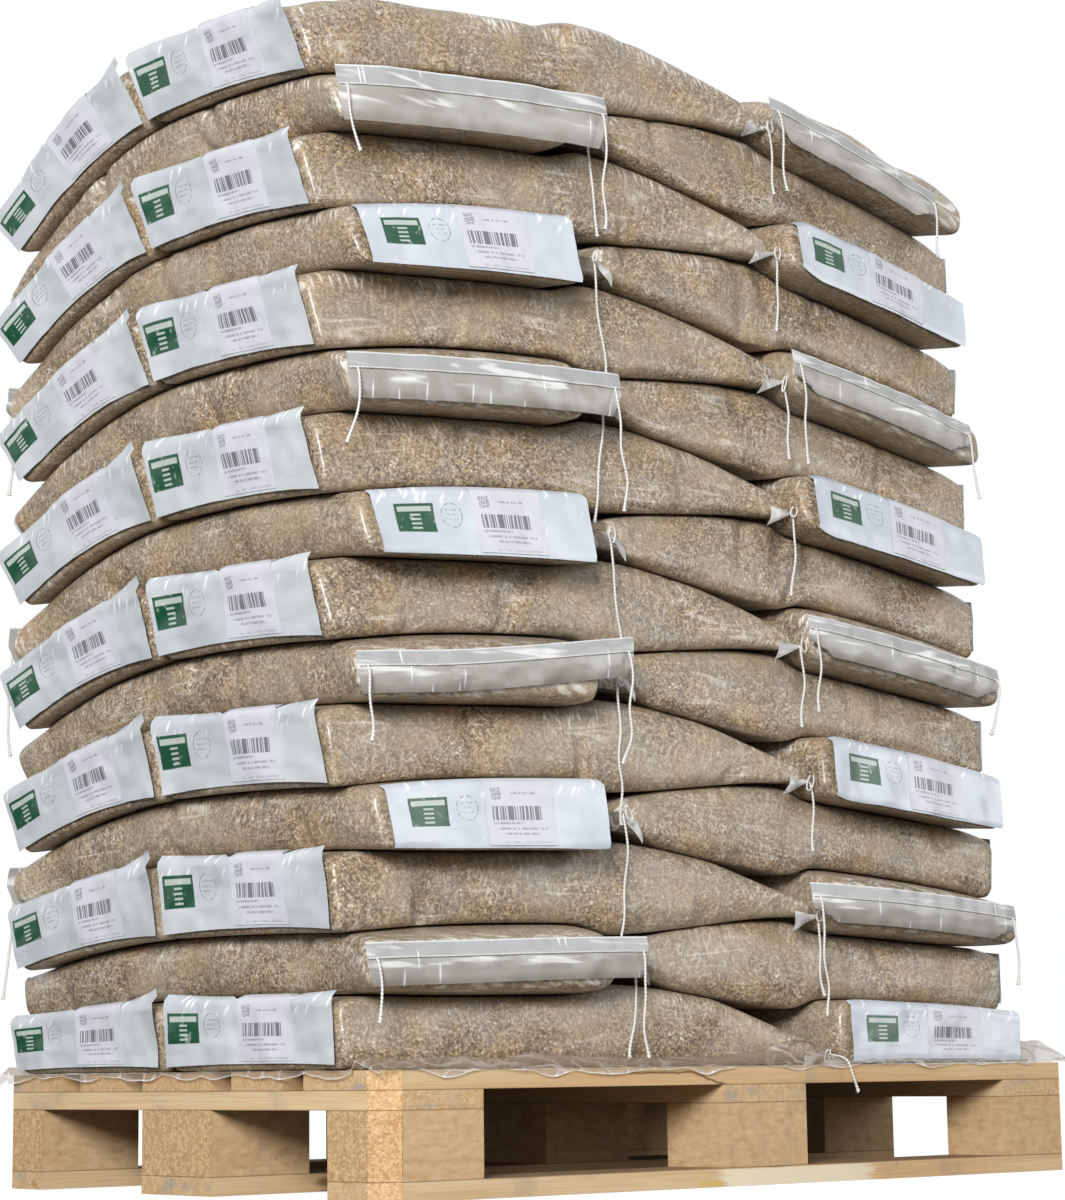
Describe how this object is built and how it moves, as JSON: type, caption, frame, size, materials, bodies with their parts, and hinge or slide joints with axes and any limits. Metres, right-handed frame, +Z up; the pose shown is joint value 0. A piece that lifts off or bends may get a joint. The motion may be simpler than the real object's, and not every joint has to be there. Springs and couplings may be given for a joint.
{
  "type": "pallet of sacks",
  "caption": "Four-way wooden pallet loaded with layers of clear film sacks of mixed grain, cross-stacked, with a film sheet between the deck and the load.",
  "frame": {"origin": "middle of the pallet's footprint, on the floor, at the underside of the middle bottom board", "axes": "+X along the pallet's 1200 mm side, +Y along its 800 mm side, +Z up through the stack"},
  "size_m": [1.252, 0.812, 1.5022],
  "materials": {
    "pine_board": "sawn, dry",
    "pressed_block": "pressed chips",
    "filled_sack": "glossy clear film over mixed grain",
    "deck_film": "clear, crumpled"
  },
  "bodies": {
    "root": {"bottom_board_near": "pine_board", "block_near_left": "pressed_block", "block_near_centre": "pressed_block", "block_near_right": "pressed_block", "bottom_board_middle": "pine_board", "block_middle_left": "pressed_block", "block_middle_centre": "pressed_block", "block_middle_right": "pressed_block", "bottom_board_far": "pine_board", "block_far_left": "pressed_block", "block_far_centre": "pressed_block", "block_far_right": "pressed_block", "stringer_board_left": "pine_board", "stringer_board_centre": "pine_board", "stringer_board_right": "pine_board", "deck_board_1": "pine_board", "deck_board_2": "pine_board", "deck_board_3": "pine_board", "deck_board_4": "pine_board", "deck_board_5": "pine_board", "deck_film_sheet": "deck_film", "layer_01_long_sacks": "filled_sack", "layer_01_cross_sack": "filled_sack", "layer_02_long_sacks": "filled_sack", "layer_02_cross_sack": "filled_sack", "layer_03_long_sacks": "filled_sack", "layer_03_cross_sack": "filled_sack", "layer_04_long_sacks": "filled_sack", "layer_04_cross_sack": "filled_sack", "layer_05_long_sacks": "filled_sack", "layer_05_cross_sack": "filled_sack", "layer_06_long_sacks": "filled_sack", "layer_06_cross_sack": "filled_sack", "layer_07_long_sacks": "filled_sack", "layer_07_cross_sack": "filled_sack", "layer_08_long_sacks": "filled_sack", "layer_08_cross_sack": "filled_sack", "layer_09_long_sacks": "filled_sack", "layer_09_cross_sack": "filled_sack", "layer_10_long_sacks": "filled_sack", "layer_10_cross_sack": "filled_sack", "layer_11_long_sacks": "filled_sack", "layer_11_cross_sack": "filled_sack", "layer_12_long_sacks": "filled_sack", "layer_12_cross_sack": "filled_sack", "layer_13_long_sacks": "filled_sack", "layer_13_cross_sack": "filled_sack", "layer_14_long_sacks": "filled_sack", "layer_14_cross_sack": "filled_sack", "layer_15_long_sacks": "filled_sack", "layer_15_cross_sack": "filled_sack"}
  },
  "joints": []
}
